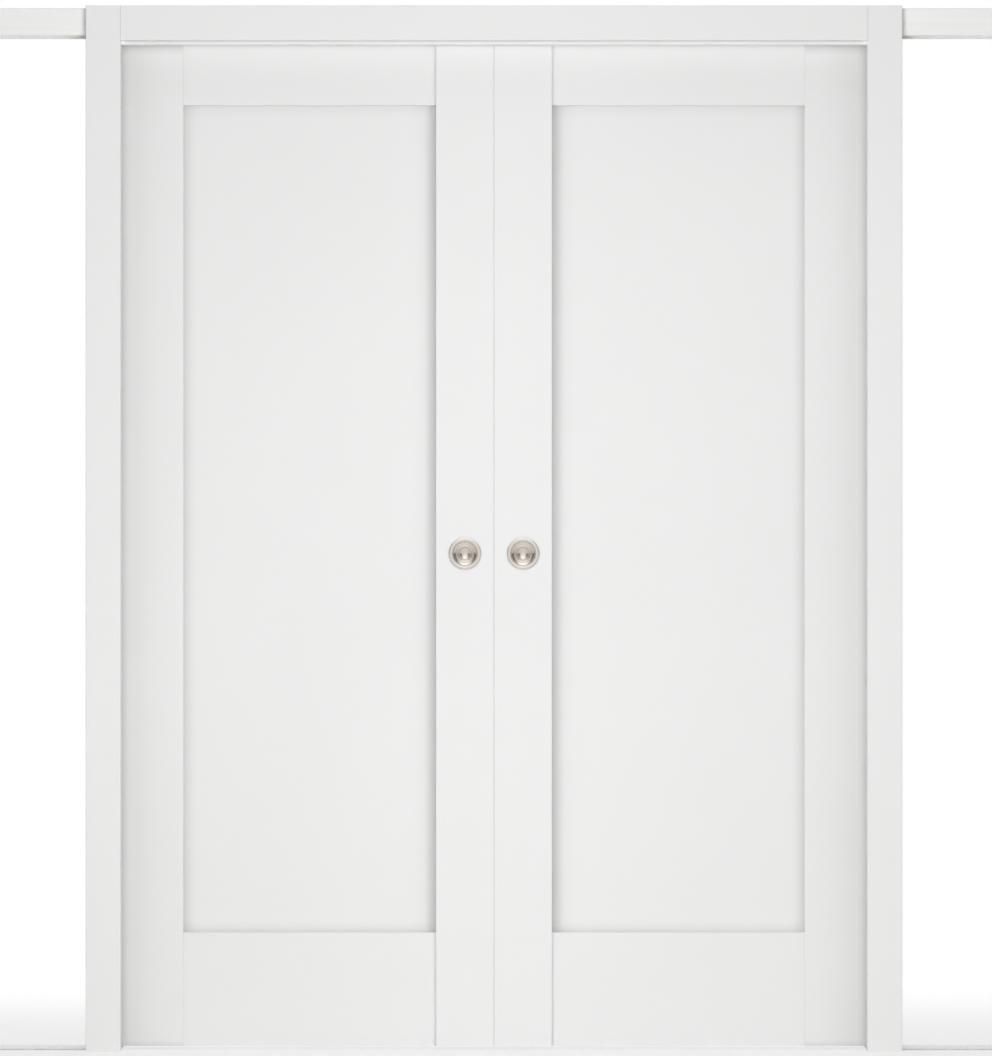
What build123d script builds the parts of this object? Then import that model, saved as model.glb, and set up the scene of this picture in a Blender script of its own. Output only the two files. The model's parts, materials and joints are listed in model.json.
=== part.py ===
"""Double pocket door: two panelled leaves that hang from a track and roll into pockets beside a doorway.

Millimetres, +Z up. The origin is on the floor, midway along the doorway and through the wall's thickness.
The front faces -Y. Pieces are modelled on the left or at the front, and mirrored to the other side.
"""

import os

from build123d import *

# Leaf
leaf_width = 762.0
leaf_height = 2032.0
leaf_thickness = 40.0
meeting_stile_width = 117.0
back_stile_width = 134.0
top_rail_height = 132.0
bottom_rail_height = 229.0
rail_setback = 3.0  # the rails' faces lie this far behind the stiles' faces
panel_thickness = 12.0
tongue_depth = 12.0  # rail tenons and panel edges run this far into the grooves
panel_play = 0.6  # room for the panel to swell, at the bottom of its groove
leaf_ease = 0.8  # rounding of the long edges
floor_gap = 6.0
meeting_gap = 0.3
seam_rebate = 0.3  # a shadow line along each face of a meeting edge, this wide
seam_depth = 4.0

# Face pull, a turned cup, measured from its axis outwards and from the leaf's face inwards
pull_height = 1000.0
bowl_floor_radius = 8.0
bowl_wall_width = 6.5
bead_width = 3.6
bead_rise = 1.6
cove_width = 7.4
flange_width = 7.0
flange_rise = 1.8
rim_chamfer = 1.2
cove_depth = 5.0
bowl_sink = 7.0  # the bowl's floor below the cove's
cup_wall = 1.5
pull_clearance = 0.4

# Edge pull, a small cup driven in flush with the meeting edge
edge_bowl_radius = 9.0
edge_bowl_depth = 9.0
edge_bowl_chamfer = 2.0
edge_cup_wall = 2.0

# Hanger plate and bolt
hanger_plate_length = 64.0
hanger_plate_width = 30.0
hanger_plate_thickness = 3.0
hanger_plate_chamfer = 4.0
hanger_screw_radius = 2.4
hanger_screw_spacing = 46.0
bolt_radius = 3.0
bolt_slot_play = 0.4
bolt_head_flats = 10.0
bolt_head_height = 4.0
bolt_head_play = 2.0  # room under the head in its recess
bolt_recess_radius = 9.0
lock_nut_height = 5.0
thread_length = 8.0
fit_clearance = 0.05

# Trolley and wheels
trolley_width = 10.0
trolley_boss_radius = 8.0
trolley_shank_width = 14.0
trolley_lift = 1.5  # the shank ends this far above the track's underside
axle_radius = 3.0
axle_tip = 1.5  # the axle ends this far outside a wheel
wheel_radius = 11.0
wheel_width = 7.0
wheel_side_play = 0.3
wheel_lift = 0.3  # running gap between a wheel and the track

# Track
track_wall = 2.5
track_slot = 12.0
track_stop_height = 16.0
track_stop_gap = 0.5
wheel_headroom = 2.7
track_side_room = 1.7
track_drop = 5.0  # room between the lock nut and the track

# Pocket frame
wall_thickness = 114.3
pocket_slot = 50.8  # clear width for the leaf
board_thickness = 19.0
stud_depth = 19.05
stud_width = 38.0
stud_chamfer = 2.0
jamb_overlap = 11.0  # back edge of a closed leaf stays this far inside its pocket
head_overlap = 12.5  # head jamb hides this much of the leaf's top
open_projection = 8.0  # an open leaf stands this far out of its pocket
stud_screw_radius = 2.75
stud_screw_rise = 300.0  # lower screw above the floor
stud_screw_drop = 344.5  # upper screw below the header
bumper_radius = 12.0
bumper_length = 16.0
bumper_chamfer = 4.0
bumper_gap = 0.5

# Floor plate and floor guide
plate_thickness = 2.0
plate_tongue_clearance = 0.3
ear_length = 30.0
ear_height = 40.0
ear_chamfer = 6.0
plate_screw_radius = 2.75
plate_screw_inset = 60.0  # from the mid studs and the end stud
guide_length = 17.0
guide_height = 26.0
guide_base = 2.0
guide_play = 0.8
guide_lead = 1.5
guide_setback = 1.5

# Casing
casing_width = 70.0
casing_thickness = 16.0
casing_ease = 2.0
casing_relief_width = 40.0
casing_relief_depth = 1.5
head_reveal = 7.5  # strip of the head jamb that shows under the head casing

# Quirk, a shadow groove in the head jamb's edge under the head casing
head_lip = 5.0
quirk_height = 6.0
quirk_depth = 3.5
quirk_inset = 8.0  # the quirk stops this far short of the side jambs
jamb_ease = 1.5

overrun = 1.0  # cuts run this far past the faces that they open

# Places along the leaf, measured from the doorway's middle to the left
leaf_edge = meeting_gap / 2
leaf_back = leaf_edge + leaf_width
meeting_stile_middle = leaf_edge + meeting_stile_width / 2
back_stile_middle = leaf_back - back_stile_width / 2
sight_width = leaf_width - meeting_stile_width - back_stile_width
sight_middle = leaf_edge + meeting_stile_width + sight_width / 2
hanger_places = {"inner": meeting_stile_middle, "outer": back_stile_middle}

# Places along the frame
jamb_face = leaf_back - jamb_overlap
jamb_back = jamb_face + board_thickness
travel = jamb_face - leaf_edge - open_projection
pocket_end = leaf_back + travel + bumper_gap + bumper_length
frame_end = pocket_end + stud_width
mouth_stud_middle = jamb_back + stud_width / 2
mid_stud_middle = (mouth_stud_middle + pocket_end) / 2
stud_places = {"mouth": mouth_stud_middle, "mid": mid_stud_middle}

# Places through the wall
leaf_half = leaf_thickness / 2
rail_thickness = leaf_thickness - 2 * rail_setback
slot_half = pocket_slot / 2
wall_half = wall_thickness / 2
frame_half = slot_half + stud_depth
jamb_depth = wall_half - slot_half

# Heights
leaf_bottom = floor_gap
leaf_top = leaf_bottom + leaf_height
sight_bottom = leaf_bottom + bottom_rail_height
sight_top = leaf_top - top_rail_height
hanger_top = leaf_top + hanger_plate_thickness
track_bottom = hanger_top + lock_nut_height + track_drop
axle_height = track_bottom + track_wall + wheel_lift + wheel_radius
track_top = axle_height + wheel_radius + wheel_headroom + track_wall
header_top = track_top + board_thickness
head_jamb_bottom = leaf_top - head_overlap
header_bottom = head_jamb_bottom + board_thickness
head_casing_bottom = head_jamb_bottom + head_reveal
casing_top = head_casing_bottom + casing_width

# Cup pull radii and depths
bowl_radius = bowl_floor_radius + bowl_wall_width
bead_radius = bowl_radius + bead_width
cove_radius = bead_radius + cove_width
cup_radius = cove_radius + cup_wall
flange_radius = cove_radius + flange_width
bowl_floor = cove_depth + bowl_sink
cup_depth = bowl_floor + cup_wall

# Edge pull radii
edge_cup_radius = edge_bowl_radius + edge_cup_wall
edge_cup_depth = edge_bowl_depth + edge_cup_wall

# Track and trolley widths
wheel_near = trolley_width / 2 + wheel_side_play
wheel_far = wheel_near + wheel_width
axle_end = wheel_far + axle_tip
track_inner_half = axle_end + track_side_room
track_half = track_inner_half + track_wall
trolley_bottom = track_bottom + trolley_lift
bolt_top = trolley_bottom + thread_length


def save(part, name):
    """Writes one finished piece under its own name."""
    part.label = name
    export_step(part, f"parts/{name}.step")


def save_both_sides(part, name):
    """Writes a piece modelled on the left, and its mirror image on the right."""
    save(part, f"left_{name}")
    save(mirror(part, about=Plane.YZ), f"right_{name}")


def stile(middle, width, groove_side, rebate=0):
    """Upright of the leaf: a groove for tenons and panel on one edge, a rebate or none on the other."""
    plain_edge = -middle - groove_side * width / 2
    with BuildPart() as upright:
        with BuildSketch(Plane.XY.offset(leaf_bottom)):
            with Locations((-middle, 0)):
                Rectangle(width, leaf_thickness)
            with Locations((-middle + groove_side * width / 2, 0)):
                Rectangle(2 * tongue_depth, panel_thickness, mode=Mode.SUBTRACT)
            if rebate:
                with Locations((plain_edge, -leaf_half), (plain_edge, leaf_half)):
                    Rectangle(2 * rebate, 2 * seam_depth, mode=Mode.SUBTRACT)
        extrude(amount=leaf_height)
        long_edges = upright.edges().filter_by(Axis.Z).group_by(Axis.Y)
        fillet(long_edges[0] + long_edges[-1], leaf_ease)
        with Locations(Plane((-middle, 0, leaf_top))):
            Hole(bolt_recess_radius, depth=bolt_head_height + bolt_head_play)
    return upright.part


def meeting_stile():
    """Stile at the meeting edge, bored for the two face pulls and the edge pull."""
    with BuildPart() as bored:
        add(stile(meeting_stile_middle, meeting_stile_width, -1, seam_rebate))
        for facing in (-1, 1):
            face = Plane((-meeting_stile_middle, facing * leaf_half, pull_height), z_dir=(0, facing, 0))
            with Locations(face):
                Hole(cup_radius + pull_clearance, depth=cup_depth + pull_clearance)
        with Locations(Plane((-leaf_edge, 0, pull_height), z_dir=(1, 0, 0))):
            Hole(edge_cup_radius + pull_clearance, depth=edge_cup_depth)
    return bored.part


def rail(bottom, height, groove_level):
    """Cross rail of the leaf, with stub tenons at its ends and the panel's groove along one edge."""
    middle = bottom + height / 2
    with BuildPart() as cross:
        with Locations((-sight_middle, 0, middle)):
            Box(sight_width, rail_thickness, height)
        panel_edges = cross.edges().filter_by(Axis.X).filter_by_position(Axis.Z, groove_level, groove_level)
        fillet(panel_edges, leaf_ease)
        with Locations((-sight_middle, 0, middle)):
            Box(sight_width + 2 * tongue_depth, panel_thickness, height)
        with Locations((-sight_middle, 0, groove_level)):
            Box(
                sight_width + 2 * tongue_depth + 2 * overrun,
                panel_thickness,
                2 * tongue_depth,
                mode=Mode.SUBTRACT,
            )
    return cross.part


def panel():
    """Flat panel, held in the grooves all round."""
    tongue = tongue_depth - panel_play
    with BuildPart() as flat:
        with Locations((-sight_middle, 0, (sight_bottom + sight_top) / 2)):
            Box(sight_width + 2 * tongue, panel_thickness, sight_top - sight_bottom + 2 * tongue)
    return flat.part


def face_pull():
    """Turned cup for the front face: a flange, a cove, a raised bead and a dished bowl."""
    # Heights are measured out of the leaf's face, which is towards -Y here.
    face = Plane((-meeting_stile_middle, -leaf_half, pull_height), x_dir=(1, 0, 0), z_dir=(0, 0, -1))
    with BuildPart() as cup:
        with BuildSketch(face):
            with BuildLine():
                Polyline(
                    (0, -bowl_floor),
                    (bowl_floor_radius, -bowl_floor),
                    (bowl_radius, -cove_depth),
                    (bowl_radius + bead_width / 2, bead_rise - cove_depth),
                    (bead_radius, -cove_depth),
                    (cove_radius, flange_rise),
                    (flange_radius - rim_chamfer, flange_rise),
                    (flange_radius, flange_rise - rim_chamfer),
                    (flange_radius, 0),
                    (cup_radius, 0),
                    (cup_radius, -cup_depth),
                    (0, -cup_depth),
                    close=True,
                )
            make_face()
        revolve(axis=Axis((-meeting_stile_middle, 0, pull_height), (0, 1, 0)))
    return cup.part


def edge_pull():
    """Small cup driven into the meeting edge, for drawing an open leaf out of its pocket."""
    # Depths are measured into the leaf, which is towards -X here.
    edge = Plane((-leaf_edge, 0, pull_height), x_dir=(0, 1, 0), z_dir=(0, 0, 1))
    with BuildPart() as cup:
        with BuildSketch(edge):
            with BuildLine():
                Polyline(
                    (0, edge_bowl_depth),
                    (edge_bowl_radius - edge_bowl_chamfer, edge_bowl_depth),
                    (edge_bowl_radius, edge_bowl_depth - edge_bowl_chamfer),
                    (edge_bowl_radius, 0),
                    (edge_cup_radius, 0),
                    (edge_cup_radius, edge_cup_depth),
                    (0, edge_cup_depth),
                    close=True,
                )
            make_face()
        revolve(axis=Axis((-leaf_edge, 0, pull_height), (1, 0, 0)))
    return cup.part


def hanger_plate(middle):
    """Plate on top of a stile, open at the front so that the bolt's neck slides in."""
    slot_width = 2 * (bolt_radius + bolt_slot_play)
    with BuildPart() as plate:
        with BuildSketch(Plane((-middle, 0, leaf_top))):
            blank = Rectangle(hanger_plate_length, hanger_plate_width)
            chamfer(blank.vertices(), hanger_plate_chamfer)
            Circle(slot_width / 2, mode=Mode.SUBTRACT)
            with Locations((0, -hanger_plate_width / 2)):
                Rectangle(slot_width, hanger_plate_width, mode=Mode.SUBTRACT)
        extrude(amount=hanger_plate_thickness)
        with Locations(Plane((-middle, 0, hanger_top))):
            with GridLocations(hanger_screw_spacing, 0, 2, 1):
                Hole(hanger_screw_radius)
    return plate.part


def hanger_bolts():
    """A bolt under each hanger plate, with the lock nut above it: separate solids of one group."""
    hexagon_radius = bolt_head_flats / 2
    with BuildPart() as bolts:
        for middle in hanger_places.values():
            with BuildSketch(Plane((-middle, 0, leaf_top - bolt_head_height))):
                RegularPolygon(hexagon_radius, 6, major_radius=False)
            extrude(amount=bolt_head_height)
            with BuildSketch(Plane((-middle, 0, leaf_top))):
                Circle(bolt_radius)
            extrude(amount=bolt_top - leaf_top)
        for middle in hanger_places.values():
            with BuildSketch(Plane((-middle, 0, hanger_top))):
                RegularPolygon(hexagon_radius, 6, major_radius=False)
                Circle(bolt_radius + fit_clearance, mode=Mode.SUBTRACT)
            extrude(amount=lock_nut_height)
    return bolts.part


def trolley(middle):
    """Cast carrier in the track: a shank over the bolt, a round boss, and an axle through it."""
    with BuildPart() as carrier:
        with BuildSketch(Plane((-middle, 0, axle_height), x_dir=(1, 0, 0), z_dir=(0, -1, 0))):
            Circle(trolley_boss_radius)
            with Locations((0, (trolley_bottom - axle_height) / 2)):
                Rectangle(trolley_shank_width, axle_height - trolley_bottom)
        extrude(amount=trolley_width / 2, both=True)
        with BuildSketch(Plane((-middle, 0, axle_height), x_dir=(1, 0, 0), z_dir=(0, -1, 0))):
            Circle(axle_radius)
        extrude(amount=axle_end, both=True)
        with Locations(Plane((-middle, 0, trolley_bottom), z_dir=(0, 0, -1))):
            Hole(bolt_radius + fit_clearance, depth=thread_length)
    return carrier.part


def wheel_pair(middle):
    """The two wheels of a trolley, one on each end of its axle."""
    with BuildPart() as wheels:
        for facing in (-1, 1):
            with BuildSketch(Plane((-middle, facing * wheel_near, axle_height), z_dir=(0, facing, 0))):
                Circle(wheel_radius)
                Circle(axle_radius + fit_clearance, mode=Mode.SUBTRACT)
            extrude(amount=wheel_width)
    return wheels.part


def track():
    """Channel, open below, with a flange each side for the wheels and a stop at its middle."""
    height = track_top - track_bottom
    stop_half = meeting_stile_middle - trolley_boss_radius - track_stop_gap
    with BuildPart() as channel:
        with BuildSketch(Plane((-pocket_end, 0, track_bottom), x_dir=(0, 1, 0), z_dir=(1, 0, 0))):
            with Locations((0, height / 2)):
                Rectangle(2 * track_half, height)
                Rectangle(2 * track_inner_half, height - 2 * track_wall, mode=Mode.SUBTRACT)
            Rectangle(track_slot, height, mode=Mode.SUBTRACT)
        extrude(amount=2 * pocket_end)
        with Locations((0, 0, track_top - track_wall - track_stop_height / 2)):
            Box(2 * stop_half, trolley_width, track_stop_height)
    return channel.part


def header():
    """Beam over the whole frame, milled out below for the track and solid over the end studs."""
    with BuildPart() as beam:
        with Locations((0, 0, (header_bottom + header_top) / 2)):
            Box(2 * frame_end, 2 * frame_half, header_top - header_bottom)
        chamfer(beam.edges().filter_by(Axis.X), stud_chamfer)
        with BuildSketch(Plane.XY.offset(header_bottom)):
            Rectangle(2 * pocket_end, pocket_slot)
        extrude(amount=track_top - header_bottom, mode=Mode.SUBTRACT)
    return beam.part


def split_stud(middle):
    """Front half of a pair of studs, with the leaf's slot behind it."""
    with BuildPart() as stud:
        with BuildSketch(Plane.XY.offset(plate_thickness)):
            with Locations((-middle, -(slot_half + frame_half) / 2)):
                Rectangle(stud_width, stud_depth)
        extrude(amount=header_bottom - plate_thickness)
        chamfer(stud.edges().filter_by(Axis.Z), stud_chamfer)
    return stud.part


def end_stud():
    """Full stud that closes the pocket, drilled for the screws into the wall's own framing."""
    with BuildPart() as stud:
        with BuildSketch(Plane.XY.offset(plate_thickness)):
            with Locations((-(pocket_end + frame_end) / 2, 0)):
                Rectangle(stud_width, 2 * frame_half)
        extrude(amount=header_bottom - plate_thickness)
        chamfer(stud.edges().filter_by(Axis.Z), stud_chamfer)
        for level in (stud_screw_rise, header_bottom - stud_screw_drop):
            with Locations(Plane((-pocket_end, 0, level), z_dir=(1, 0, 0))):
                Hole(stud_screw_radius, depth=stud_width)
    return stud.part


def bumper():
    """Rubber stop on the end stud, level with the pulls."""
    with BuildPart() as stop:
        with BuildSketch(Plane((-pocket_end, 0, pull_height), z_dir=(1, 0, 0))):
            Circle(bumper_radius)
        extrude(amount=bumper_length)
        chamfer(stop.faces().sort_by(Axis.X)[-1].edges(), bumper_chamfer)
    return stop.part


def floor_plate():
    """Folded steel strip under one pocket, with an ear up the inside of each split stud."""
    strip_length = frame_end - jamb_back
    tongue_length = board_thickness - guide_setback
    screw_places = (mid_stud_middle - plate_screw_inset, pocket_end - plate_screw_inset)
    with BuildPart() as plate:
        with BuildSketch():
            with Locations((-jamb_back - strip_length / 2, 0)):
                Rectangle(strip_length, 2 * frame_half)
            with Locations((-jamb_back + tongue_length / 2, 0)):
                Rectangle(tongue_length, pocket_slot - 2 * plate_tongue_clearance)
        extrude(amount=plate_thickness)
        for middle in stud_places.values():
            for facing in (-1, 1):
                with Locations((-middle, facing * (slot_half - plate_thickness / 2), ear_height / 2)):
                    ear = Box(ear_length, plate_thickness, ear_height)
                top_corners = ear.edges().filter_by(Axis.Y).group_by(Axis.Z)[-1]
                chamfer(top_corners, ear_chamfer)
        for place in screw_places:
            with Locations(Plane((-place, 0, plate_thickness))):
                Hole(plate_screw_radius)
    return plate.part


def floor_guide():
    """Moulded guide on the floor plate, with a cheek on each side of the leaf."""
    middle = jamb_face + guide_setback + guide_length / 2
    cheek_face = leaf_half + guide_play
    top = plate_thickness + guide_height
    with BuildPart() as guide:
        with BuildSketch(Plane((-middle, 0, plate_thickness), x_dir=(1, 0, 0))):
            Rectangle(guide_length, pocket_slot - 2 * plate_tongue_clearance)
        extrude(amount=guide_height)
        with Locations((-middle, 0, (plate_thickness + guide_base + top + overrun) / 2)):
            Box(
                guide_length + 2 * overrun,
                2 * cheek_face,
                guide_height - guide_base + overrun,
                mode=Mode.SUBTRACT,
            )
        lead_edges = guide.edges().filter_by(Axis.Z).filter_by_position(Axis.Y, -cheek_face, cheek_face)
        chamfer(lead_edges, guide_lead)
    return guide.part


def side_jamb():
    """Front half of the split jamb at a pocket's mouth."""
    with BuildPart() as jamb:
        with BuildSketch():
            with Locations((-(jamb_face + jamb_back) / 2, -(slot_half + wall_half) / 2)):
                Rectangle(board_thickness, jamb_depth)
        extrude(amount=header_bottom)
        face_edges = jamb.edges().filter_by(Axis.Z).group_by(Axis.X)[-1]
        fillet(face_edges.sort_by(Axis.Y)[-1], jamb_ease)
    return jamb.part


def head_jamb():
    """Front half of the split head, which hides the hangers and the track, with its quirk in front."""
    with BuildPart() as jamb:
        with Locations((0, -(slot_half + wall_half) / 2, head_jamb_bottom + board_thickness / 2)):
            Box(2 * jamb_face, jamb_depth, board_thickness)
        fillet(jamb.edges().filter_by(Axis.X).group_by(Axis.Z)[0], jamb_ease)
        with Locations((0, -wall_half, head_jamb_bottom + head_lip + quirk_height / 2)):
            Box(2 * (jamb_face - quirk_inset), 2 * quirk_depth, quirk_height, mode=Mode.SUBTRACT)
    return jamb.part


def casing_profile(plane):
    """Section of the casing, with a relieved back on the plane's X axis and eased front edges."""
    with BuildSketch(plane) as section:
        with Locations((0, casing_thickness / 2)):
            board = Rectangle(casing_width, casing_thickness)
        fillet(board.vertices().group_by(Axis.Y)[-1], casing_ease)
        Rectangle(casing_relief_width, 2 * casing_relief_depth, mode=Mode.SUBTRACT)
    return section.sketch


def side_casing():
    """Upright casing beside the doorway, running past the head casing's end."""
    middle = jamb_face + casing_width / 2
    section_plane = Plane((-middle, -wall_half, 0), x_dir=(-1, 0, 0), z_dir=(0, 0, 1))
    with BuildPart() as casing:
        extrude(casing_profile(section_plane), amount=casing_top)
    return casing.part


def head_casing():
    """Casing over the doorway, cut to fit between the uprights."""
    middle = head_casing_bottom + casing_width / 2
    section_plane = Plane((-jamb_face, -wall_half, middle), x_dir=(0, 0, 1), z_dir=(1, 0, 0))
    with BuildPart() as casing:
        extrude(casing_profile(section_plane), amount=2 * jamb_face)
    return casing.part


def build():
    """Makes every piece and writes it under its node's name."""
    os.makedirs("parts", exist_ok=True)

    save_both_sides(meeting_stile(), "meeting_stile")
    save_both_sides(stile(back_stile_middle, back_stile_width, 1), "back_stile")
    save_both_sides(rail(sight_top, top_rail_height, sight_top), "top_rail")
    save_both_sides(rail(leaf_bottom, bottom_rail_height, sight_bottom), "bottom_rail")
    save_both_sides(panel(), "panel")

    front_pull = face_pull()
    save_both_sides(front_pull, "front_pull")
    save_both_sides(mirror(front_pull, about=Plane.XZ), "rear_pull")
    save_both_sides(edge_pull(), "edge_pull")

    for place, middle in hanger_places.items():
        save_both_sides(hanger_plate(middle), f"{place}_hanger_plate")
        save_both_sides(trolley(middle), f"{place}_trolley")
        save_both_sides(wheel_pair(middle), f"{place}_wheels")
    save_both_sides(hanger_bolts(), "hanger_bolts")

    save(track(), "track")
    save(header(), "header_beam")
    for place, middle in stud_places.items():
        front_stud = split_stud(middle)
        save_both_sides(front_stud, f"front_{place}_stud")
        save_both_sides(mirror(front_stud, about=Plane.XZ), f"rear_{place}_stud")
    save_both_sides(end_stud(), "end_stud")
    save_both_sides(bumper(), "bumper")
    save_both_sides(floor_plate(), "floor_plate")
    save_both_sides(floor_guide(), "floor_guide")

    front_jamb = side_jamb()
    save_both_sides(front_jamb, "front_jamb")
    save_both_sides(mirror(front_jamb, about=Plane.XZ), "rear_jamb")
    front_head = head_jamb()
    save(front_head, "front_head_jamb")
    save(mirror(front_head, about=Plane.XZ), "rear_head_jamb")

    front_side = side_casing()
    save_both_sides(front_side, "front_casing")
    save_both_sides(mirror(front_side, about=Plane.XZ), "rear_casing")
    front_top = head_casing()
    save(front_top, "front_head_casing")
    save(mirror(front_top, about=Plane.XZ), "rear_head_casing")


build()
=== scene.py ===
"""Double pocket door: finishes, turned pulls, small fasteners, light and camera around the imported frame.

Metres, +Z up, the front faces -Y. Places and sizes come from the frame's own nodes wherever they can.
"""

import json
import math

import bmesh
import bpy
from mathutils import Matrix, Vector


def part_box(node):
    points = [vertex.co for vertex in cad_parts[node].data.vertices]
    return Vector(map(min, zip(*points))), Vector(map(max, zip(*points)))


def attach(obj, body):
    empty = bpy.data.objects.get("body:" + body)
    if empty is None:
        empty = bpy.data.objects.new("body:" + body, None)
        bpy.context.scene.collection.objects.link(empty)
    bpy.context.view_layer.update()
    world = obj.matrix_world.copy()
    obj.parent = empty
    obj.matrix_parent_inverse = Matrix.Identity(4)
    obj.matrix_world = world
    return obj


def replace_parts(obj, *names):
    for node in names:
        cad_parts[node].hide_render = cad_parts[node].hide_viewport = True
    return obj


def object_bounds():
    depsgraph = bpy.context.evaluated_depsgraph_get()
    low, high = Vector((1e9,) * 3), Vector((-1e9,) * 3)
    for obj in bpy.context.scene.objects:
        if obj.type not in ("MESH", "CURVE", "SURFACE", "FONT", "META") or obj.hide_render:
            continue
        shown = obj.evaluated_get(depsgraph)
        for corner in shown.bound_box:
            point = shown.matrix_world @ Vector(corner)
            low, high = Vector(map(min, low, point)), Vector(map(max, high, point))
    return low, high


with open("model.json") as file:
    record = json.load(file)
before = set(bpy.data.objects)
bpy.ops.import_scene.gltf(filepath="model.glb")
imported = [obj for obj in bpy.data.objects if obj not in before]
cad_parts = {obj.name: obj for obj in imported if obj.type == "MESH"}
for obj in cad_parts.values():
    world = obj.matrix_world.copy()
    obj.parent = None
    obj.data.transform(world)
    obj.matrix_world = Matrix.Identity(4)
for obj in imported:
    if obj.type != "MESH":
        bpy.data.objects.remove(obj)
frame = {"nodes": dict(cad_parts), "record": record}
cad_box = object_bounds()

MM = 0.001
SIDES = ("left", "right")
PLACES = ("inner", "outer")

# Turned pull, measured from its axis outwards and from the leaf's face outwards
BOWL_DEPTH = 12.0 * MM
BOWL_RADIUS = 14.5 * MM
BOWL_POWER = 3.0
BEAD_RADIUS = 18.1 * MM
BEAD_RISE = 0.9 * MM
COVE_DEPTH = 5.0 * MM
COVE_RADIUS = 25.5 * MM
COVE_BOW = -1.3 * MM
FLANGE_RISE = 1.8 * MM
FLANGE_CROWN = 0.3 * MM
RIM_CHAMFER = 1.2 * MM
RIM_BOW = 0.3 * MM
SEAT_RADIUS = 27.0 * MM
PULL_SEGMENTS = 144
ARC_STEPS = 12
BOWL_STEPS = 24

# Bulge of a shallow curve that rounds a corner, as a share of the corner's size
ROUND_SHARE = 0.2

# Edge pull
EDGE_BOWL_RADIUS = 9.0 * MM
EDGE_BOWL_DEPTH = 9.0 * MM
EDGE_BOWL_ROUND = 3.0 * MM
EDGE_RIM_ROUND = 0.6 * MM

# Screws, with a head that stands on what it holds and a shank in the hole below
SCREW_SEGMENTS = 48
SCREW_SHANK_RADIUS = 2.2 * MM
HANGER_SCREW = {"radius": 4.2 * MM, "height": 2.4 * MM, "shank": 2.9 * MM}
EAR_SCREW = {"radius": 4.6 * MM, "height": 1.3 * MM, "shank": 1.9 * MM}
CROSS_SHARE = 0.52
CROSS_WAIST_SHARE = 0.34
CROSS_DEPTH_SHARE = 0.7
CROSS_TAPER_SHARE = 0.75
CROSS_SHARPNESS = 8
EDGE_HEIGHT_SHARE = 0.35
HANGER_SCREW_REACH = 23.0 * MM
EAR_SCREW_HEIGHT = 24.0 * MM
EAR_THICKNESS = 2.0 * MM

# Push-on washers at the axles' ends, and the bolts' thread
WASHER_RADIUS = 5.2 * MM
WASHER_BORE = 3.0 * MM
WASHER_THICKNESS = 0.6 * MM
WASHER_DISH = 0.5 * MM
WASHER_TIP = 0.15 * MM
BOLT_RADIUS = 3.0 * MM
THREAD_RISE = 0.3 * MM
THREAD_PITCH = 1.0 * MM
THREAD_WIDTH = 0.8 * MM
THREAD_TURNS = 5
THREAD_STEPS = 36

# Bumper
BUMPER_ROUND = 4.0 * MM
BUMPER_RECESS_RADIUS = 5.0 * MM
BUMPER_RECESS_DEPTH = 5.0 * MM
BUMPER_LIP = 0.5 * MM

SHARP_ANGLE = math.radians(32)

# Painted shade that darkens paint and nickel in creases: how far off other faces darken it, and its darkest
# share
PANEL_SHADE_REACH = 25 * MM
BACK_SHADE_REACH = 20 * MM
STILE_SHADE_REACH = 6 * MM
TRIM_SHADE_REACH = 0.8 * MM
PULL_SHADE_REACH = 3 * MM
CREASE_SHADE_DEPTH = 0.56
CREASE_SHADE_SAMPLES = 12

# Patterns in the finishes, in cells to the metre where they are scales
PAINT_GRAIN_ALONG = 6
PAINT_GRAIN_ACROSS = 420
PINE_RINGS = 9.0
PINE_RING_SHARE = 0.75
TURNED_LINES = 2600.0


# Mesh helpers

def bow(start, end, rise, steps=ARC_STEPS):
    """Points of a shallow curve from start to end that bulges by rise to the left of its way."""
    (r0, h0), (r1, h1) = start, end
    length = math.hypot(r1 - r0, h1 - h0)
    normal = ((h0 - h1) / length, (r1 - r0) / length)
    points = []
    for step in range(steps + 1):
        t = step / steps
        bulge = 4 * rise * t * (1 - t)
        points.append((r0 + (r1 - r0) * t + normal[0] * bulge, h0 + (h1 - h0) * t + normal[1] * bulge))
    return points


def lathe(profile, segments, outline=None):
    """A bmesh turned about the Z axis from (radius, height) points, closed where they end on the axis.

    Where a point has a third value, the outline function varies its radius with the angle.
    """
    mesh = bmesh.new()
    rings = []
    for radius, height, *lobed in profile:
        if radius == 0:
            rings.append([mesh.verts.new((0, 0, height))])
            continue
        ring = []
        for step in range(segments):
            angle = math.tau * step / segments
            reach = radius * outline(angle) if lobed else radius
            ring.append(mesh.verts.new((reach * math.cos(angle), reach * math.sin(angle), height)))
        rings.append(ring)
    if profile[0][0] > 0:
        rings.append(rings[0])
    for lower, upper in zip(rings, rings[1:]):
        for step in range(segments):
            following = (step + 1) % segments
            corners = [lower[step % len(lower)], lower[following % len(lower)]]
            corners += [upper[following % len(upper)], upper[step % len(upper)]]
            mesh.faces.new(list(dict.fromkeys(corners)))
    bmesh.ops.recalc_face_normals(mesh, faces=mesh.faces)
    return mesh


def finish_piece(name, mesh, slot, body, place=None):
    """Makes an object of a bmesh, with smooth faces and sharp creases, that rides on a body."""
    for face in mesh.faces:
        face.smooth = True
    for edge in mesh.edges:
        edge.smooth = edge.calc_face_angle(0) < SHARP_ANGLE
    data = bpy.data.meshes.new(name)
    mesh.to_mesh(data)
    mesh.free()
    data.materials.append(MATERIALS[slot])
    piece = bpy.data.objects.new(name, data)
    bpy.context.scene.collection.objects.link(piece)
    if place is not None:
        piece.matrix_world = place
    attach(piece, body)
    return piece


def turned_to(direction, place):
    """Matrix that takes a part made along +Z to a place, pointing along direction."""
    turn = Vector((0, 0, 1)).rotation_difference(Vector(direction))
    return Matrix.Translation(place) @ turn.to_matrix().to_4x4()


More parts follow.
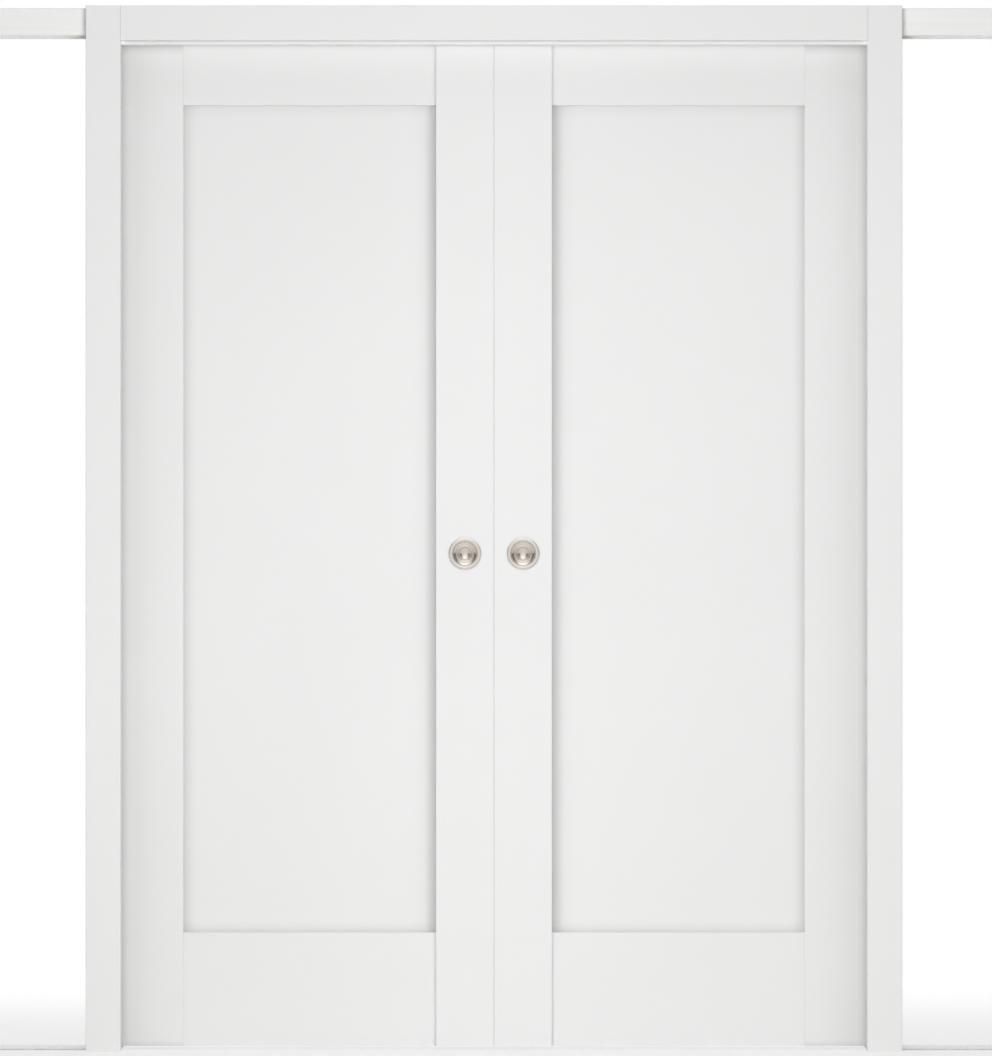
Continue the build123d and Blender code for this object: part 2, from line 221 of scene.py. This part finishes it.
def copies(mesh, matrices):
    """One bmesh of a mesh repeated at several places. The mesh itself is freed."""
    data = bpy.data.meshes.new("pattern")
    mesh.to_mesh(data)
    mesh.free()
    whole = bmesh.new()
    for matrix in matrices:
        first = len(whole.verts)
        whole.from_mesh(data)
        whole.verts.ensure_lookup_table()
        bmesh.ops.transform(whole, matrix=matrix, verts=whole.verts[first:])
    bpy.data.meshes.remove(data)
    return whole


# Node helpers

class Nodes:
    """A material under construction: its shader, its coordinates and short ways to add texture nodes."""

    def __init__(self, name):
        self.material = bpy.data.materials.new(name)
        self.material.use_nodes = True
        self.tree = self.material.node_tree
        self.shader = self.tree.nodes["Principled BSDF"]
        self.place = self.tree.nodes.new("ShaderNodeTexCoord").outputs["Object"]

    def set(self, **values):
        """Sets sockets of the shader, named with underscores for spaces."""
        for name, value in values.items():
            self.shader.inputs[name.replace("_", " ")].default_value = value

    def scaled(self, scale):
        """Coordinates scaled along X, Y and Z, or by one number along all three."""
        node = self.tree.nodes.new("ShaderNodeMapping")
        node.inputs["Scale"].default_value = scale if isinstance(scale, tuple) else (scale,) * 3
        self.tree.links.new(self.place, node.inputs["Vector"])
        return node.outputs["Vector"]

    def noise(self, scale, detail=2.0, distortion=0.0):
        """Noise from 0 to 1, in cells to the metre along each axis or along all three."""
        node = self.tree.nodes.new("ShaderNodeTexNoise")
        node.inputs["Scale"].default_value = 1.0
        node.inputs["Detail"].default_value = detail
        node.inputs["Distortion"].default_value = distortion
        self.tree.links.new(self.scaled(scale), node.inputs["Vector"])
        return node.outputs["Fac"]

    def cells(self, scale):
        """A random grey for each cell of a broken pattern."""
        node = self.tree.nodes.new("ShaderNodeTexVoronoi")
        node.inputs["Scale"].default_value = 1.0
        self.tree.links.new(self.scaled(scale), node.inputs["Vector"])
        grey = self.tree.nodes.new("ShaderNodeRGBToBW")
        self.tree.links.new(node.outputs["Color"], grey.inputs["Color"])
        return grey.outputs["Val"]

    def ramp(self, source, *stops):
        """Colours at given shares of a grey source."""
        node = self.tree.nodes.new("ShaderNodeValToRGB")
        elements = node.color_ramp.elements
        while len(elements) < len(stops):
            elements.new(1.0)
        for element, (share, colour) in zip(elements, stops):
            element.position = share
            element.color = (*colour, 1.0)
        self.tree.links.new(source, node.inputs["Fac"])
        return node.outputs["Color"]

    def span(self, source, low, high):
        """A grey source brought into a range."""
        node = self.tree.nodes.new("ShaderNodeMapRange")
        node.inputs["To Min"].default_value = low
        node.inputs["To Max"].default_value = high
        self.tree.links.new(source, node.inputs["Value"])
        return node.outputs["Result"]

    def math(self, operation, first, second=0.0):
        """An operation on a source and, where it takes two, on another source or a number."""
        node = self.tree.nodes.new("ShaderNodeMath")
        node.operation = operation
        for socket, value in zip(node.inputs, (first, second)):
            if isinstance(value, (int, float)):
                socket.default_value = value
            else:
                self.tree.links.new(value, socket)
        return node.outputs["Value"]

    def shade_creases(self, colour, reach):
        """A colour darkened a little by painted shade where other faces stand within reach."""
        # Painted shade: occlusion by nearby faces multiplies the colour darker.
        openness = self.tree.nodes.new("ShaderNodeAmbientOcclusion")
        openness.samples = CREASE_SHADE_SAMPLES
        openness.inputs["Distance"].default_value = reach
        shade = self.tree.nodes.new("ShaderNodeMix")
        shade.data_type = "RGBA"
        shade.blend_type = "MULTIPLY"
        shade.inputs["Factor"].default_value = 1.0
        self.tree.links.new(colour, shade.inputs["A"])
        self.tree.links.new(self.span(openness.outputs["AO"], CREASE_SHADE_DEPTH, 1.0), shade.inputs["B"])
        return shade.outputs["Result"]

    def colour(self, source):
        """Gives the shader its colour."""
        self.tree.links.new(source, self.shader.inputs["Base Color"])

    def roughness(self, source):
        """Gives the shader its roughness."""
        self.tree.links.new(source, self.shader.inputs["Roughness"])

    def bump(self, *layers):
        """Bump from (height source, strength, depth) layers, the coarse ones first."""
        below = None
        for height, strength, depth in layers:
            node = self.tree.nodes.new("ShaderNodeBump")
            node.inputs["Strength"].default_value = strength
            node.inputs["Distance"].default_value = depth
            self.tree.links.new(height, node.inputs["Height"])
            if below is not None:
                self.tree.links.new(below, node.inputs["Normal"])
            below = node.outputs["Normal"]
        self.tree.links.new(below, self.shader.inputs["Normal"])


# Materials

def white_paint(name, along, crease):
    """Satin white lacquer, with a fine sprayed texture, faint grain along one axis and painted shade in
    creases.
    """
    look = Nodes(name)
    look.set(Specular_IOR_Level=0.35)
    tone = look.noise(1.6, detail=3)
    paint = look.ramp(tone, (0.3, (0.832, 0.831, 0.828)), (0.7, (0.850, 0.849, 0.846)))
    # Painted shade: the paint colour darkens in creases and recesses within the given reach.
    look.colour(look.shade_creases(paint, crease))
    look.roughness(look.span(look.noise(14, detail=4), 0.40, 0.52))
    scale = tuple(PAINT_GRAIN_ALONG if axis == along else PAINT_GRAIN_ACROSS for axis in "XYZ")
    grain = look.noise(scale, detail=3, distortion=0.4)
    spray = look.noise(900, detail=1)
    look.bump((grain, 0.05, 0.2 * MM), (spray, 0.06, 0.2 * MM))
    return look.material


def white_primer():
    """Chalky primer, brushed along the beam."""
    look = Nodes("white_primer")
    look.set(Specular_IOR_Level=0.15)
    streaks = look.noise((3, 240, 240), detail=4, distortion=0.3)
    look.colour(look.ramp(streaks, (0.25, (0.90, 0.90, 0.89)), (0.75, (0.94, 0.94, 0.93))))
    look.roughness(look.span(streaks, 0.65, 0.85))
    look.bump((streaks, 0.15, 0.3 * MM))
    return look.material


def pine():
    """Planed softwood, with growth rings that run up the stud."""
    look = Nodes("pine")
    look.set(Specular_IOR_Level=0.25)
    rings = look.noise((46, 46, 1.1), detail=3, distortion=0.9)
    banded = look.math("FRACT", look.math("MULTIPLY", rings, PINE_RINGS))
    fibres = look.noise((900, 900, 9), detail=3)
    ring_tone = look.math("MULTIPLY", banded, PINE_RING_SHARE)
    fibre_tone = look.math("MULTIPLY", fibres, 1 - PINE_RING_SHARE)
    tone = look.math("ADD", ring_tone, fibre_tone)
    look.colour(look.ramp(
        tone,
        (0.10, (0.76, 0.58, 0.36)),
        (0.55, (0.70, 0.49, 0.27)),
        (0.92, (0.50, 0.30, 0.14)),
    ))
    look.roughness(look.span(fibres, 0.55, 0.75))
    look.bump((banded, 0.10, 0.3 * MM), (fibres, 0.20, 0.3 * MM))
    return look.material


def aluminium():
    """Anodised extrusion, with fine die lines along the track."""
    look = Nodes("aluminium")
    look.set(Metallic=1.0)
    lines = look.noise((2, 1500, 1500), detail=2)
    look.colour(look.ramp(lines, (0.2, (0.62, 0.63, 0.64)), (0.8, (0.74, 0.75, 0.76))))
    look.roughness(look.span(lines, 0.28, 0.44))
    look.bump((lines, 0.08, 0.1 * MM))
    return look.material


def galvanised_steel():
    """Hot-dip zinc, with spangles."""
    look = Nodes("galvanised_steel")
    look.set(Metallic=0.9)
    spangle = look.cells(110)
    look.colour(look.ramp(spangle, (0.1, (0.52, 0.54, 0.56)), (0.9, (0.72, 0.74, 0.75))))
    look.roughness(look.span(spangle, 0.34, 0.58))
    look.bump((look.noise(500, detail=2), 0.06, 0.1 * MM))
    return look.material


def plated_steel():
    """Bright zinc plate over rolled steel, with a faint warm bloom."""
    look = Nodes("plated_steel")
    look.set(Metallic=1.0)
    bloom = look.noise(60, detail=3)
    look.colour(look.ramp(bloom, (0.3, (0.62, 0.63, 0.64)), (0.7, (0.72, 0.69, 0.60))))
    look.roughness(look.span(look.noise((40, 900, 900), detail=3), 0.24, 0.42))
    return look.material


def cast_zinc():
    """Die casting, dull and slightly grainy."""
    look = Nodes("zinc")
    look.set(Metallic=0.9)
    grain = look.noise(1400, detail=2)
    tone = look.noise(90, detail=3)
    look.colour(look.ramp(tone, (0.3, (0.45, 0.46, 0.47)), (0.7, (0.58, 0.59, 0.60))))
    look.roughness(look.span(grain, 0.45, 0.65))
    look.bump((grain, 0.15, 0.1 * MM))
    return look.material


def nylon():
    """Moulded nylon, milky and a little cloudy."""
    look = Nodes("nylon")
    look.set(Subsurface_Weight=0.15, Subsurface_Scale=2 * MM)
    cloud = look.noise(130, detail=3)
    look.colour(look.ramp(cloud, (0.3, (0.79, 0.78, 0.73)), (0.7, (0.85, 0.84, 0.80))))
    look.roughness(look.span(cloud, 0.36, 0.50))
    look.bump((look.noise(1100), 0.05, 0.1 * MM))
    return look.material


def rubber():
    """Black moulded rubber with a dusty bloom."""
    look = Nodes("rubber")
    bloom = look.noise(160, detail=4)
    look.colour(look.ramp(bloom, (0.3, (0.018, 0.018, 0.018)), (0.8, (0.05, 0.05, 0.048))))
    look.roughness(look.span(bloom, 0.60, 0.85))
    look.bump((look.noise(1500), 0.2, 0.15 * MM))
    return look.material


def satin_nickel():
    """Warm satin nickel with fine turned rings about the piece's own Z axis."""
    look = Nodes("satin_nickel")
    look.set(Metallic=1.0)
    split = look.tree.nodes.new("ShaderNodeSeparateXYZ")
    look.tree.links.new(look.place, split.inputs["Vector"])
    squares = [look.math("MULTIPLY", split.outputs[axis], split.outputs[axis]) for axis in "XY"]
    radius = look.math("SQRT", look.math("ADD", *squares))
    turn = look.tree.nodes.new("ShaderNodeTexNoise")
    turn.noise_dimensions = "1D"
    turn.inputs["Scale"].default_value = TURNED_LINES
    turn.inputs["Detail"].default_value = 2.0
    look.tree.links.new(radius, turn.inputs["W"])
    rings = turn.outputs["Fac"]
    nickel = look.ramp(rings, (0.3, (0.76, 0.71, 0.655)), (0.7, (0.86, 0.81, 0.755)))
    # Painted shade: the nickel colour darkens in the pull's creases and hollows.
    look.colour(look.shade_creases(nickel, PULL_SHADE_REACH))
    look.roughness(look.span(rings, 0.20, 0.31))
    look.set(Anisotropic=0.75, Anisotropic_Rotation=0.25)
    tangent = look.tree.nodes.new("ShaderNodeTangent")
    tangent.direction_type = "RADIAL"
    tangent.axis = "Z"
    look.tree.links.new(tangent.outputs["Tangent"], look.shader.inputs["Tangent"])
    look.bump((rings, 0.25, 0.06 * MM))
    return look.material


# The white paints differ in grain direction and in how far their painted crease shade reaches.
MATERIALS = {
    "panel_paint": white_paint("panel_paint", "Z", PANEL_SHADE_REACH),
    "back_paint": white_paint("back_paint", "Z", BACK_SHADE_REACH),
    "stile_paint": white_paint("stile_paint", "Z", STILE_SHADE_REACH),
    "upright_paint": white_paint("upright_paint", "Z", TRIM_SHADE_REACH),
    "level_paint": white_paint("level_paint", "X", TRIM_SHADE_REACH),
    "white_primer": white_primer(),
    "pine": pine(),
    "aluminium": aluminium(),
    "galvanised_steel": galvanised_steel(),
    "plated_steel": plated_steel(),
    "zinc": cast_zinc(),
    "nylon": nylon(),
    "rubber": rubber(),
    "satin_nickel": satin_nickel(),
}
# Paint for each kind of piece, chosen for the reach of its painted crease shade.
PAINTS = {
    "panel": "panel_paint",
    "back_stile": "back_paint",
    "meeting_stile": "stile_paint",
    "rail": "level_paint",
    "head": "level_paint",
}


def dress_nodes():
    """Gives every CAD node the finish of its record slot, with painted grain along the piece."""
    for row in frame["record"]["subparts"]:
        name, slot = row["node"], row["material_slot"]
        if slot == "white_paint":
            slot = next((paint for word, paint in PAINTS.items() if word in name), "upright_paint")
        data = frame["nodes"][name].data
        data.materials.clear()
        data.materials.append(MATERIALS[slot])


# Turned pulls

def pull_profile(flange_radius, depth):
    """Section of the face pull: bowl, bead, cove, crowned flange and rounded rim, closed at the back."""
    bowl = []
    for step in range(BOWL_STEPS):
        share = step / BOWL_STEPS
        bowl.append((BOWL_RADIUS * share, (BOWL_DEPTH - COVE_DEPTH) * share ** BOWL_POWER - BOWL_DEPTH))
    flange_edge = flange_radius - RIM_CHAMFER
    return (
        bowl
        + bow((BOWL_RADIUS, -COVE_DEPTH), (BEAD_RADIUS, -COVE_DEPTH), BEAD_RISE)
        + bow((BEAD_RADIUS, -COVE_DEPTH), (COVE_RADIUS, FLANGE_RISE), COVE_BOW)[1:]
        + bow((COVE_RADIUS, FLANGE_RISE), (flange_edge, FLANGE_RISE), FLANGE_CROWN)[1:]
        + bow((flange_edge, FLANGE_RISE), (flange_radius, FLANGE_RISE - RIM_CHAMFER), RIM_BOW)[1:]
        + [(flange_radius, 0), (SEAT_RADIUS, 0), (SEAT_RADIUS, -depth), (0, -depth)]
    )


def turn_pulls():
    """Replaces each face pull's solid with the same form, turned finely, with a slightly flatter bead."""
    for side in SIDES:
        for face, facing in (("front", -1), ("rear", 1)):
            node = f"{side}_{face}_pull"
            low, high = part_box(node)
            depth = high.y - low.y - FLANGE_RISE
            seat = low.y + FLANGE_RISE if facing < 0 else high.y - FLANGE_RISE
            place = turned_to((0, facing, 0), ((low.x + high.x) / 2, seat, (low.z + high.z) / 2))
            profile = pull_profile((high.x - low.x) / 2, depth)
            mesh = lathe(profile, PULL_SEGMENTS)
            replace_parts(finish_piece(f"{node}_turned", mesh, "satin_nickel", f"{side}_leaf", place), node)


def turn_edge_pulls():
    """Replaces each edge pull's solid with a cup whose floor and rim are rounded."""
    for side, sign in (("left", 1), ("right", -1)):
        node = f"{side}_edge_pull"
        low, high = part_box(node)
        depth, radius = high.x - low.x, (high.z - low.z) / 2
        floor_edge = EDGE_BOWL_RADIUS - EDGE_BOWL_ROUND
        profile = (
            [(0, -EDGE_BOWL_DEPTH)]
            + bow((floor_edge, -EDGE_BOWL_DEPTH), (EDGE_BOWL_RADIUS, EDGE_BOWL_ROUND - EDGE_BOWL_DEPTH),
                  -ROUND_SHARE * EDGE_BOWL_ROUND)
            + bow((EDGE_BOWL_RADIUS, -EDGE_RIM_ROUND), (EDGE_BOWL_RADIUS + EDGE_RIM_ROUND, 0),
                  ROUND_SHARE * EDGE_RIM_ROUND)
            + [(radius, 0), (radius, -depth), (0, -depth)]
        )
        mouth = high.x if sign > 0 else low.x
        place = turned_to((sign, 0, 0), (mouth, (low.y + high.y) / 2, (low.z + high.z) / 2))
        mesh = lathe(profile, PULL_SEGMENTS)
        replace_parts(finish_piece(f"{node}_turned", mesh, "satin_nickel", f"{side}_leaf", place), node)


# Screws, washers, threads and bumpers

def cross(angle):
    """Outline of a cross recess, from 1 along its arms down to its waist between them."""
    return CROSS_WAIST_SHARE + (1 - CROSS_WAIST_SHARE) * math.cos(2 * angle) ** CROSS_SHARPNESS


def screw(radius, height, shank):
    """Pan-head screw with a cross recess; its head stands on the plane Z = 0."""
    cross_radius, cross_floor = CROSS_SHARE * radius, height * (1 - CROSS_DEPTH_SHARE)
    edge_height = EDGE_HEIGHT_SHARE * height
    dome = []
    for step in range(ARC_STEPS, -1, -1):
        turn = math.radians(90 * step / ARC_STEPS)
        reach = cross_radius + (radius - cross_radius) * math.cos(turn)
        dome.append((reach, edge_height + (height - edge_height) * math.sin(turn)))
    recess = [
        (0, cross_floor),
        (CROSS_TAPER_SHARE * cross_radius, cross_floor, True),
        (cross_radius, height, True),
    ]
    below = [(radius, 0), (SCREW_SHANK_RADIUS, 0), (SCREW_SHANK_RADIUS, -shank), (0, -shank)]
    return lathe(recess + dome + below, SCREW_SEGMENTS, cross)


def drive_screws():
    """Screws through the hanger plates into the leaf, and through the floor plates' ears into the studs."""
    for side in SIDES:
        places = []
        for place in PLACES:
            low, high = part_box(f"{side}_{place}_hanger_plate")
            for reach in (-HANGER_SCREW_REACH, HANGER_SCREW_REACH):
                middle = ((low.x + high.x) / 2 + reach, (low.y + high.y) / 2, high.z)
                places.append(turned_to((0, 0, 1), middle))
        mesh = copies(screw(**HANGER_SCREW), places)
        finish_piece(f"{side}_hanger_screws", mesh, "plated_steel", f"{side}_leaf")

        places = []
        for stud in ("mouth", "mid"):
            for face, facing in (("front", -1), ("rear", 1)):
                low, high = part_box(f"{side}_{face}_{stud}_stud")
                slot_face = high.y if facing < 0 else low.y
                ear_face = slot_face - facing * EAR_THICKNESS
                middle = ((low.x + high.x) / 2, ear_face, EAR_SCREW_HEIGHT)
                places.append(turned_to((0, -facing, 0), middle))
        mesh = copies(screw(**EAR_SCREW), places)
        finish_piece(f"{side}_ear_screws", mesh, "plated_steel", "frame")


def fit_washers():
    """A dished push-on washer at each end of each axle."""
    profile = [
        (WASHER_BORE, 0),
        (WASHER_RADIUS, -WASHER_DISH),
        (WASHER_RADIUS, -WASHER_DISH - WASHER_THICKNESS),
        (WASHER_BORE, -WASHER_THICKNESS),
    ]
    for side in SIDES:
        places = []
        for place in PLACES:
            low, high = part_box(f"{side}_{place}_trolley")
            wheel_low, wheel_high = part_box(f"{side}_{place}_wheels")
            axle_x, axle_z = (low.x + high.x) / 2, (wheel_low.z + wheel_high.z) / 2
            for facing, end in ((-1, low.y), (1, high.y)):
                places.append(turned_to((0, facing, 0), (axle_x, end - facing * WASHER_TIP, axle_z)))
        mesh = copies(lathe(profile, SCREW_SEGMENTS), places)
        finish_piece(f"{side}_axle_washers", mesh, "plated_steel", f"{side}_leaf")


def thread():
    """A three-sided ridge that winds down a bolt from the plane Z = 0."""
    mesh = bmesh.new()
    section = ((BOLT_RADIUS, 0), (BOLT_RADIUS + THREAD_RISE, THREAD_WIDTH / 2), (BOLT_RADIUS, THREAD_WIDTH))
    rows = []
    for step in range(THREAD_TURNS * THREAD_STEPS + 1):
        angle = math.tau * step / THREAD_STEPS
        drop = THREAD_PITCH * step / THREAD_STEPS
        rows.append([mesh.verts.new((radius * math.cos(angle), radius * math.sin(angle), -drop - height))
                     for radius, height in section])
    for row, following in zip(rows, rows[1:]):
        for index in range(len(section)):
            mesh.faces.new((row[index - 1], row[index], following[index], following[index - 1]))
    mesh.faces.new(rows[0])
    mesh.faces.new(rows[-1])
    bmesh.ops.recalc_face_normals(mesh, faces=mesh.faces)
    return mesh


def cut_threads():
    """A thread on each hanger bolt, between its lock nut and the trolley."""
    for side in SIDES:
        places = []
        for place in PLACES:
            low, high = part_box(f"{side}_{place}_trolley")
            places.append(Matrix.Translation(((low.x + high.x) / 2, (low.y + high.y) / 2, low.z)))
        mesh = copies(thread(), places)
        finish_piece(f"{side}_bolt_threads", mesh, "plated_steel", f"{side}_leaf")


def mould_bumpers():
    """Replaces each bumper's solid with one that has a round nose and a recess for its screw."""
    for side, sign in (("left", 1), ("right", -1)):
        node = f"{side}_bumper"
        low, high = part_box(node)
        length, radius = high.x - low.x, (high.z - low.z) / 2
        recess_floor = length - BUMPER_RECESS_DEPTH
        nose = (radius - BUMPER_ROUND, length)
        profile = (
            [(0, recess_floor), (BUMPER_RECESS_RADIUS, recess_floor)]
            + bow((BUMPER_RECESS_RADIUS, length - BUMPER_LIP), nose, ROUND_SHARE * BUMPER_LIP)
            + bow(nose, (radius, length - BUMPER_ROUND), ROUND_SHARE * BUMPER_ROUND)[1:]
            + [(radius, 0), (0, 0)]
        )
        seat = low.x if sign > 0 else high.x
        place = turned_to((sign, 0, 0), (seat, (low.y + high.y) / 2, (low.z + high.z) / 2))
        mesh = lathe(profile, PULL_SEGMENTS)
        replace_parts(finish_piece(f"{node}_moulded", mesh, "rubber", "frame", place), node)
        recess = place @ Matrix.Translation((0, 0, recess_floor))
        finish_piece(f"{side}_bumper_screw", screw(**HANGER_SCREW), "plated_steel", "frame", recess)


# Stage

CAMERA_X = 4.0 * MM
CAMERA_Z = 1052.0 * MM
CAMERA_DISTANCE = 12.0
VIEW_HEIGHT = 2.1233
SENSOR_HEIGHT = 36.0
CLIP_END = 100.0

# Soft boxes, those in pairs as they stand on the right or at the rear
TOP_BOX = {"place": (0, 0, 5.0), "target": (0, 0, 0), "size": (5.0, 4.0), "power": 60}
REAR_BOX = {"place": (0, 5.0, 1.3), "target": (0, 0, 1.1), "size": (3.0, 2.0), "power": 92}
FACE_BOX = {"place": (0, 2.6, 1.25), "target": (0, 0, 1.2), "size": (0.9, 2.4), "power": 20}
FRAME_BOX = {"place": (0, -5.0, 1.1), "target": (0, 0, 1.2), "size": (2.0, 1.2), "power": 103}
BEAM_BOX = {"place": (0, 0, 5.0), "target": (0, 0, 0), "size": (5.0, 1.0), "power": 30}
END_BOX = {"place": (5.0, 0, 1.2), "target": (0, 0, 1.2), "size": (2.0, 2.0), "power": 36}
INNER_BOX = {"place": (-4.5, -3.2, 1.3), "target": (0.4, 0, 1.1), "size": (4.0, 2.1), "power": 174}
OUTER_BOX = {"place": (4.5, -3.2, 1.3), "target": (0.4, 0, 1.1), "size": (4.0, 2.1), "power": 70}

# Strength of the world's even grey
DIFFUSE_LEVEL = 0.20

# Reflected studio: for an axis, the slopes between which it fades, and its strength before and after
STUDIO_FADES = (("X", 0.15, 0.75, 1.0, 0.08), ("Z", 0.05, 0.60, 1.00, 1.40))

# Floor: its size, its drop below the part, and the share of plain white near the door and in reflections
FLOOR_SIZE = 30.0
FLOOR_DROP = 0.2 * MM
FLOOR_FADE_START = 0.35
FLOOR_FADE_END = 1.6
FLOOR_NEAR_SHARE = 0.65
FLOOR_MIRROR_SHARE = 0.5


def place_camera():
    """Square-on camera in front of the doorway, level with the leaves' middle."""
    data = bpy.data.cameras.new("camera")
    data.sensor_fit = "VERTICAL"
    data.sensor_height = SENSOR_HEIGHT
    data.lens = SENSOR_HEIGHT * CAMERA_DISTANCE / VIEW_HEIGHT
    data.clip_end = CLIP_END
    camera = bpy.data.objects.new("camera", data)
    casing_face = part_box("front_head_casing")[0].y
    camera.location = (CAMERA_X, casing_face - CAMERA_DISTANCE, CAMERA_Z)
    camera.rotation_euler = (math.radians(90), 0, 0)
    bpy.context.scene.collection.objects.link(camera)
    bpy.context.scene.camera = camera


def soft_box(name, box, group=None, flip=(1, 1)):
    """A rectangular area lamp, flipped in X or Y where asked, that lights a group of pieces or everything.

    Metal mirrors the studio, not the lamps.
    """
    data = bpy.data.lights.new(name, "AREA")
    data.shape = "RECTANGLE"
    data.size, data.size_y = box["size"]
    data.energy = box["power"]
    lamp = bpy.data.objects.new(name, data)
    place, target = (Vector(box[point]) * Vector((*flip, 1)) for point in ("place", "target"))
    lamp.location = place
    lamp.rotation_euler = (target - place).to_track_quat("-Z", "Y").to_euler()
    lamp.visible_glossy = False
    if group is not None:
        lamp.light_linking.receiver_collection = group
    bpy.context.scene.collection.objects.link(lamp)


def lit_group(name, nodes):
    """A collection of some nodes, for a lamp that lights nothing else."""
    group = bpy.data.collections.new(name)
    for node in nodes:
        group.objects.link(frame["nodes"][node])
    return group


def light_stage():
    """Soft light all round, boxes for the frame alone, and crossed boxes for each leaf alone."""
    bodies = frame["record"]["behaviour"]["bodies"]
    soft_box("top_box", TOP_BOX)
    soft_box("rear_box", REAR_BOX)
    for facing in (-1, 1):
        soft_box(f"face_box_{facing}", FACE_BOX, flip=(1, facing))
    frame_group = lit_group("frame_pieces", bodies["frame"])
    soft_box("frame_box", FRAME_BOX, frame_group)
    soft_box("beam_box", BEAM_BOX, frame_group)
    for side, sign in (("left", -1), ("right", 1)):
        soft_box(f"{side}_end_box", END_BOX, frame_group, flip=(sign, 1))
        leaf_group = lit_group(f"{side}_leaf_pieces", bodies[f"{side}_leaf"])
        for place, box in (("inner", INNER_BOX), ("outer", OUTER_BOX)):
            soft_box(f"{side}_{place}_box", box, leaf_group, flip=(sign, 1))


def set_world():
    """White to the camera, an even grey for soft light, and in reflections a studio with dark sides."""
    world = bpy.data.worlds.new("studio")
    bpy.context.scene.world = world
    world.use_nodes = True
    tree = world.node_tree
    path = tree.nodes.new("ShaderNodeLightPath")
    split = tree.nodes.new("ShaderNodeSeparateXYZ")
    tree.links.new(tree.nodes.new("ShaderNodeTexCoord").outputs["Generated"], split.inputs["Vector"])
    mirrored = tree.nodes.new("ShaderNodeMath")
    mirrored.operation = "MULTIPLY"
    for socket, (axis, start, end, near, far) in zip(mirrored.inputs, STUDIO_FADES):
        slope = tree.nodes.new("ShaderNodeMath")
        slope.operation = "ABSOLUTE"
        tree.links.new(split.outputs[axis], slope.inputs[0])
        fade = tree.nodes.new("ShaderNodeMapRange")
        fade.interpolation_type = "SMOOTHSTEP"
        for name, value in (("From Min", start), ("From Max", end), ("To Min", near), ("To Max", far)):
            fade.inputs[name].default_value = value
        tree.links.new(slope.outputs["Value"], fade.inputs["Value"])
        tree.links.new(fade.outputs["Result"], socket)

    seen = tree.nodes.new("ShaderNodeMath")
    seen.operation = "MAXIMUM"
    tree.links.new(path.outputs["Is Camera Ray"], seen.inputs[0])
    tree.links.new(path.outputs["Is Transmission Ray"], seen.inputs[1])
    plain = tree.nodes.new("ShaderNodeMapRange")
    plain.inputs["To Min"].default_value = DIFFUSE_LEVEL
    tree.links.new(seen.outputs["Value"], plain.inputs["Value"])
    strength = tree.nodes.new("ShaderNodeMix")
    tree.links.new(path.outputs["Is Glossy Ray"], strength.inputs["Factor"])
    tree.links.new(plain.outputs["Result"], strength.inputs["A"])
    tree.links.new(mirrored.outputs["Value"], strength.inputs["B"])
    tree.links.new(strength.outputs["Result"], tree.nodes["Background"].inputs["Strength"])
    tree.nodes["Background"].inputs["Color"].default_value = (1, 1, 1, 1)


def lay_floor():
    """Pale floor that keeps the shadow near the door, fades to white further off and mirrors as white."""
    data = bpy.data.meshes.new("floor")
    half = FLOOR_SIZE / 2
    corners = [(-half, -half, 0), (half, -half, 0), (half, half, 0), (-half, half, 0)]
    data.from_pydata(corners, [], [(0, 1, 2, 3)])
    floor = bpy.data.objects.new("floor", data)
    floor.location.z = cad_box[0][2] - FLOOR_DROP
    bpy.context.scene.collection.objects.link(floor)

    look = Nodes("floor")
    look.set(Base_Color=(0.93, 0.93, 0.93, 1), Roughness=0.9, Specular_IOR_Level=0.0)
    tree = look.tree
    white = tree.nodes.new("ShaderNodeEmission")
    path = tree.nodes.new("ShaderNodeLightPath")
    split = tree.nodes.new("ShaderNodeSeparateXYZ")
    tree.links.new(look.place, split.inputs["Vector"])
    past_end = look.math("SUBTRACT", look.math("ABSOLUTE", split.outputs["X"]), cad_box[1][0])
    along = look.math("MAXIMUM", past_end, 0.0)
    squares = [look.math("MULTIPLY", side, side) for side in (along, split.outputs["Y"])]
    distance = look.math("SQRT", look.math("ADD", *squares))
    fade = tree.nodes.new("ShaderNodeMapRange")
    fade.interpolation_type = "SMOOTHSTEP"
    fade.inputs["From Min"].default_value = FLOOR_FADE_START
    fade.inputs["From Max"].default_value = FLOOR_FADE_END
    fade.inputs["To Min"].default_value = FLOOR_NEAR_SHARE
    tree.links.new(distance, fade.inputs["Value"])
    shown = look.math("MULTIPLY", fade.outputs["Result"], path.outputs["Is Camera Ray"])
    mirrored = look.math("MULTIPLY", path.outputs["Is Glossy Ray"], FLOOR_MIRROR_SHARE)
    share = look.math("MAXIMUM", shown, mirrored)
    mix = tree.nodes.new("ShaderNodeMixShader")
    tree.links.new(share, mix.inputs["Fac"])
    tree.links.new(look.shader.outputs["BSDF"], mix.inputs[1])
    tree.links.new(white.outputs["Emission"], mix.inputs[2])
    tree.links.new(mix.outputs["Shader"], tree.nodes["Material Output"].inputs["Surface"])
    data.materials.append(look.material)


dress_nodes()
turn_pulls()
turn_edge_pulls()
drive_screws()
fit_washers()
cut_threads()
mould_bumpers()
place_camera()
light_stage()
set_world()
lay_floor()
bpy.context.scene.view_settings.view_transform = "Standard"
